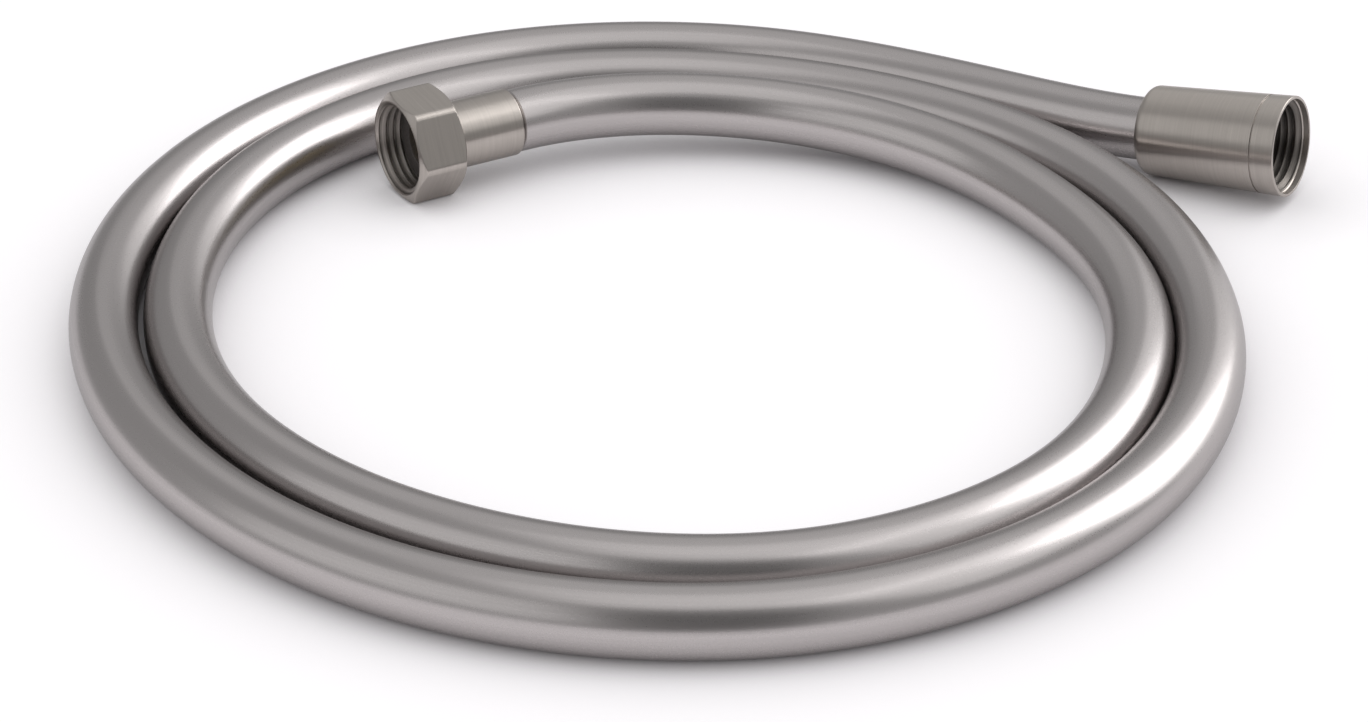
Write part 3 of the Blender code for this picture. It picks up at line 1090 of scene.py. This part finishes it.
def smooth_curve(stations: np.ndarray, first: Vector, last: Vector, steps: int = 120) -> np.ndarray:
    """Draws the cubic curve through the stations whose direction and bend are both continuous.

    Args:
        stations: The points that it passes through.
        first: Its direction at the first of them.
        last: Its direction at the last.
        steps: The number of points between two stations.

    Returns:
        Points along the curve.
    """
    spans = np.linalg.norm(np.diff(stations, axis=0), axis=1)
    balance = np.eye(len(stations))
    slopes = np.zeros_like(stations)
    slopes[0] = first
    slopes[-1] = last
    for i in range(1, len(stations) - 1):
        before, after = spans[i - 1], spans[i]
        balance[i, i - 1 : i + 2] = 1 / before, 2 / before + 2 / after, 1 / after
        slopes[i] = 3 * (
            (stations[i] - stations[i - 1]) / before**2 + (stations[i + 1] - stations[i]) / after**2
        )
    slopes = np.linalg.solve(balance, slopes)
    t = np.linspace(0, 1, steps, endpoint=False)[:, None]
    pieces = []
    for i, span in enumerate(spans):
        pieces.append(
            (2 * t**3 - 3 * t**2 + 1) * stations[i]
            + (t**3 - 2 * t**2 + t) * span * slopes[i]
            + (3 * t**2 - 2 * t**3) * stations[i + 1]
            + (t**3 - t**2) * span * slopes[i + 1]
        )
    return np.vstack([*pieces, stations[-1:]])


@dataclass
class CoiledHose:
    """The hose, from the tail in the hexagonal nut to the tail in the conical nut."""

    hex_end: HexEnd
    cone_end: ConeEnd
    finishes: Finishes
    sizes: CrimpSizes = CrimpSizes()
    coil_middle: tuple[float, float] = (0.0139, 0.0104)
    first_angle: float = math.radians(90)
    angle_step: float = math.radians(30)
    first_turn_radii: tuple[float, ...] = (
        0.0795, 0.073, 0.0695, 0.0735, 0.0845, 0.104, 0.1215, 0.128, 0.1295, 0.1275, 0.125, 0.1155,
    )
    turn_gaps: tuple[float, ...] = (
        0.006, 0.0025, 0.0025, 0.0005, 0.001, 0.0015, 0.003, 0.004, 0.0015, 0.001, 0.0005, 0.0015,
        0.002, 0.001,
    )
    hex_end_lifts: tuple[float, ...] = (0.0031, 0.0012, 0.0002)
    cone_end_lift: float = 0.0005
    straight_run: float = 0.0024
    real_length: float = 1.62
    ring_spacing: float = 0.0021
    crimp_spacing: float = 0.00025
    crimp_stretch: float = 0.0195
    bore_stride: int = 6
    sides: int = 64

    def stations(self) -> list[tuple[float, float, float]]:
        """The coil's own points: a free first turn, then each turn beside the one inside it."""
        radii = list(self.first_turn_radii)
        for gap in self.turn_gaps:
            radii.append(radii[-len(self.first_turn_radii)] + self.sizes.hose_diameter + gap)
        level = [0.0] * (len(radii) - len(self.hex_end_lifts) - 1)
        lifts = [*self.hex_end_lifts, *level, self.cone_end_lift]
        points = []
        for number, (radius, lift) in enumerate(zip(radii, lifts)):
            angle = self.first_angle - number * self.angle_step
            points.append((
                self.coil_middle[0] + radius * math.cos(angle),
                self.coil_middle[1] + radius * math.sin(angle),
                self.sizes.hose_diameter / 2 + lift,
            ))
        return points

    def centre_line(self) -> np.ndarray:
        """The hose's whole centre line, in close points."""
        hex_frame, cone_frame = self.hex_end.frame, self.cone_end.frame
        hex_exit = self.hex_end.ferrule_front + self.sizes.ferrule_length + self.straight_run
        stations = [hex_frame.at(hex_exit), *self.stations(), cone_frame.at(self.cone_end.length)]
        curve = smooth_curve(np.array([tuple(point) for point in stations]), hex_frame.into, -cone_frame.into)
        curve[:, 2] = np.maximum(curve[:, 2], self.sizes.hose_diameter / 2)
        first = hex_frame.at(self.hex_end.hose_start)
        last = cone_frame.at(self.cone_end.hose_start)
        return np.vstack([[tuple(first)], curve, [tuple(last)]])

    def rings(self) -> tuple[np.ndarray, np.ndarray, np.ndarray]:
        """Places the hose's rings, closer together where the crimps let it go.

        Returns:
            Each ring's distance along the hose, its centre and its radius.
        """
        line = self.centre_line()
        lengths = np.concatenate([[0], np.cumsum(np.linalg.norm(np.diff(line, axis=0), axis=1))])
        total = lengths[-1]
        middle_count = round((total - 2 * self.crimp_stretch) / self.ring_spacing)
        near_end = np.arange(0, self.crimp_stretch, self.crimp_spacing)
        middle = np.linspace(self.crimp_stretch, total - self.crimp_stretch, middle_count)
        along = np.concatenate([near_end, middle, total - near_end[::-1]])
        centres = np.stack([np.interp(along, lengths, line[:, axis]) for axis in range(3)], axis=-1)
        gripped = self.sizes.ferrule_length - self.sizes.ferrule_lip
        let_go = eased((np.minimum(along, total - along) - gripped) / self.sizes.run_out)
        radii = (self.sizes.crimped_diameter + self.sizes.squeeze * let_go) / 2
        return along, centres, radii

    def build(self) -> Object:
        along, centres, radii = self.rings()
        tangents = np.gradient(centres, axis=0)
        tangents /= np.linalg.norm(tangents, axis=1, keepdims=True)
        across = np.cross((0, 0, 1), tangents)
        across /= np.linalg.norm(across, axis=1, keepdims=True)
        upwards = np.cross(tangents, across)
        angles = even_angles(self.sides)

        bore_rings = np.unique([*range(0, len(along), self.bore_stride), len(along) - 1])[::-1]
        chosen = np.concatenate([np.arange(len(along)), bore_rings])
        bores = radii[bore_rings] - self.sizes.hose_wall
        ring_radii = np.concatenate([radii, bores])[:, None, None]
        offsets = (
            across[chosen, None, :] * np.cos(angles)[None, :, None]
            + upwards[chosen, None, :] * np.sin(angles)[None, :, None]
        )
        points = centres[chosen, None, :] + ring_radii * offsets
        straightened = np.stack([along[chosen], ring_radii[:, 0, 0]], axis=-1)
        mesh = closed_grid("hose", points, turned_points(straightened, angles))

        self.path = centres.tolist()
        LOG.info("hose: %.4f m long, %d rings", along[-1], len(along))
        material = self.finishes.of[Slot.HOSE_SHEATH]
        return placed_piece("hose", mesh, material, Body.HOSE_LINE)

    def declare(self, fittings: Sequence[Object]) -> None:
        """Works out where the hose leaves the hexagonal nut's ferrule.

        Args:
            fittings: The pieces on its far end. Not used.
        """
        exit_point = self.hex_end.frame.at(self.hex_end.ferrule_front + self.sizes.ferrule_length)


@dataclass(frozen=True)
class PhotoCamera:
    """The camera, as far away, as high and as long as the photograph's."""

    location: tuple[float, float, float] = (-0.0062, -0.7751, 0.4045)
    pitch_down: float = math.radians(28)
    focal_pixels: float = 4099.4
    frame_width_pixels: int = 1368
    sensor_width_mm: float = 36.0

    def build(self) -> Object:
        """Builds the camera and makes it the scene's own."""
        data = bpy.data.cameras.new("photo_camera")
        data.sensor_fit = "HORIZONTAL"
        data.sensor_width = self.sensor_width_mm
        data.lens = self.focal_pixels / self.frame_width_pixels * self.sensor_width_mm
        camera = new_object("photo_camera", data)
        camera.location = self.location
        camera.rotation_euler = (math.radians(90) - self.pitch_down, 0, 0)
        bpy.context.scene.camera = camera
        return camera


def face_hose(thing: Object, azimuth: float, elevation: float, distance: float) -> None:
    """Places a thing round the middle of the hose, facing it.

    Args:
        thing: A lamp or a card.
        azimuth: Its direction in degrees: 0 is the camera's side and 90 the right.
        elevation: Its direction's height in degrees.
        distance: How far away it is.
    """
    around, up = math.radians(azimuth), math.radians(elevation)
    direction = Vector((math.sin(around) * math.cos(up), -math.cos(around) * math.cos(up), math.sin(up)))
    thing.location = direction * distance
    thing.rotation_euler = direction.to_track_quat("Z", "Y").to_euler()


def plate(name: str, width: float, height: float, material: Material) -> Object:
    """Builds a flat plate of the studio, which isn't part of the hose.

    Args:
        name: Its name.
        width: Its size along X.
        height: Its size along Y.
        material: Its material.

    Returns:
        The plate.
    """
    mesh = bpy.data.meshes.new(name)
    corners = [(x * width / 2, y * height / 2, 0) for x, y in ((-1, -1), (1, -1), (1, 1), (-1, 1))]
    mesh.from_pydata(corners, [], [(0, 1, 2, 3)])
    mesh.materials.append(material)
    thing = new_object(name, mesh)
    return thing


@dataclass(frozen=True)
class Softbox:
    """A soft lamp, placed by its direction in degrees and its distance from the middle of the hose."""

    name: str
    azimuth: float
    elevation: float
    distance: float
    width: float
    height: float
    radiance: float
    lights_floor: bool = True

    def build(self) -> Object:
        """Builds the lamp, which the camera doesn't see."""
        data = bpy.data.lights.new(self.name, "AREA")
        data.shape = "RECTANGLE"
        data.size, data.size_y = self.width, self.height
        data.energy = self.radiance * math.pi * self.width * self.height
        lamp = new_object(self.name, data)
        face_hose(lamp, self.azimuth, self.elevation, self.distance)
        lamp.visible_camera = False
        lamp.visible_diffuse = self.lights_floor
        return lamp


@dataclass(frozen=True)
class Studio:
    """A plain pale floor, soft lamps and the dark of the room behind the camera."""

    world_level: float = 0.45
    floor_size: float = 8.0
    floor_colour: Colour = (0.735, 0.71, 0.735)
    floor_glow: float = 0.50
    # The contact fields shape a painted contact shadow: the floor's glow fades where ambient occlusion finds
    # the hose near.
    contact_reach: float = 0.035
    contact_falloff: float = 1.1
    contact_samples: int = 8
    card_size: tuple[float, float] = (0.60, 0.84)
    card_distance: float = 0.86
    card_azimuth: float = 3.0
    card_elevation: float = 27.5
    card_level: float = 0.165
    softboxes: tuple[Softbox, ...] = (
        Softbox("overhead_softbox", 90, 84, 2.4, 2.1, 2.1, 0.57),
        Softbox("key_softbox", 119, 31, 2.6, 1.9, 1.95, 2.9, lights_floor=False),
        Softbox("key_spill", 136, 14, 2.5, 2.3, 2.7, 0.5, lights_floor=False),
        Softbox("right_softbox", 78, 46, 2.4, 2.2, 2.0, 0.72),
        Softbox("back_softbox", 172, 45, 2.4, 2.4, 1.8, 0.26),
        Softbox("left_fill", -54, 34, 2.6, 3.7, 1.95, 0.45),
    )

    def build_world(self) -> None:
        """Sets the plain grey world."""
        world = bpy.data.worlds.new("studio")
        world.use_nodes = True
        background = world.node_tree.nodes["Background"]
        background.inputs["Color"].default_value = grey(self.world_level)
        background.inputs["Strength"].default_value = 1.0
        bpy.context.scene.world = world

    def build_floor(self) -> Object:
        """Builds the floor, white to the camera and in reflections, with the hose's shadow on it and a
        painted contact shadow where its glow fades near the hose.
        """
        material, graph, shader = new_surface("floor_white")
        matt = {"Base Color": (*self.floor_colour, 1.0), "Roughness": 1.0, "Specular IOR Level": 0.0}
        graph.fill(shader, matt)
        rays = graph.add("ShaderNodeLightPath")
        seen = graph.math("MAXIMUM", rays.outputs["Is Camera Ray"], rays.outputs["Is Glossy Ray"])
        seen = graph.math("MAXIMUM", seen, rays.outputs["Is Transmission Ray"])
        # Painted contact shadow: the glow is weakened by ambient occlusion near the hose.
        samples = {"samples": self.contact_samples}
        open_sky = graph.add("ShaderNodeAmbientOcclusion", {"Distance": self.contact_reach}, samples)
        open_share = graph.math("POWER", open_sky.outputs["AO"], self.contact_falloff)
        strength = graph.math("MULTIPLY", graph.math("MULTIPLY", seen, self.floor_glow), open_share)
        glow = graph.add("ShaderNodeEmission", {"Strength": strength})
        both = graph.add("ShaderNodeAddShader", {0: shader.outputs[0], 1: glow.outputs[0]})
        graph.fill(graph.tree.nodes["Material Output"], {"Surface": both.outputs[0]})
        return plate("floor", self.floor_size, self.floor_size, material)

    def build_card(self) -> Object:
        """Builds the dark card behind the camera, which only shows in the reflections of shiny pieces."""
        material, graph, _ = new_surface("card_dark")
        glow = graph.add("ShaderNodeEmission", {"Strength": self.card_level})
        graph.fill(graph.tree.nodes["Material Output"], {"Surface": glow.outputs[0]})
        card = plate("dark_card", *self.card_size, material)
        face_hose(card, self.card_azimuth, self.card_elevation, self.card_distance)
        card.visible_camera = card.visible_diffuse = card.visible_shadow = False
        return card

    def build(self) -> None:
        """Builds the whole studio."""
        self.build_world()
        self.build_floor()
        self.build_card()
        for softbox in self.softboxes:
            softbox.build()
        bpy.context.scene.view_settings.view_transform = "Standard"


def main() -> None:
    """Builds the camera, the hose, both of its ends and the studio."""
    logging.basicConfig(level=logging.INFO, format="%(name)s: %(message)s")
    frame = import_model()
    PhotoCamera().build()

    finishes = Finishes()
    hex_end = HexEnd(EndFrame.of_joint(frame["joints"], "hex_nut_swivel"), finishes)
    cone_end = ConeEnd(EndFrame.of_joint(frame["joints"], "cone_nut_swivel"), finishes)
    coiled_hose = CoiledHose(hex_end, cone_end, finishes)
    hose = coiled_hose.build()
    hex_end.build()
    coiled_hose.declare(cone_end.build())
    Studio().build()


if __name__ == "__main__":
    main()
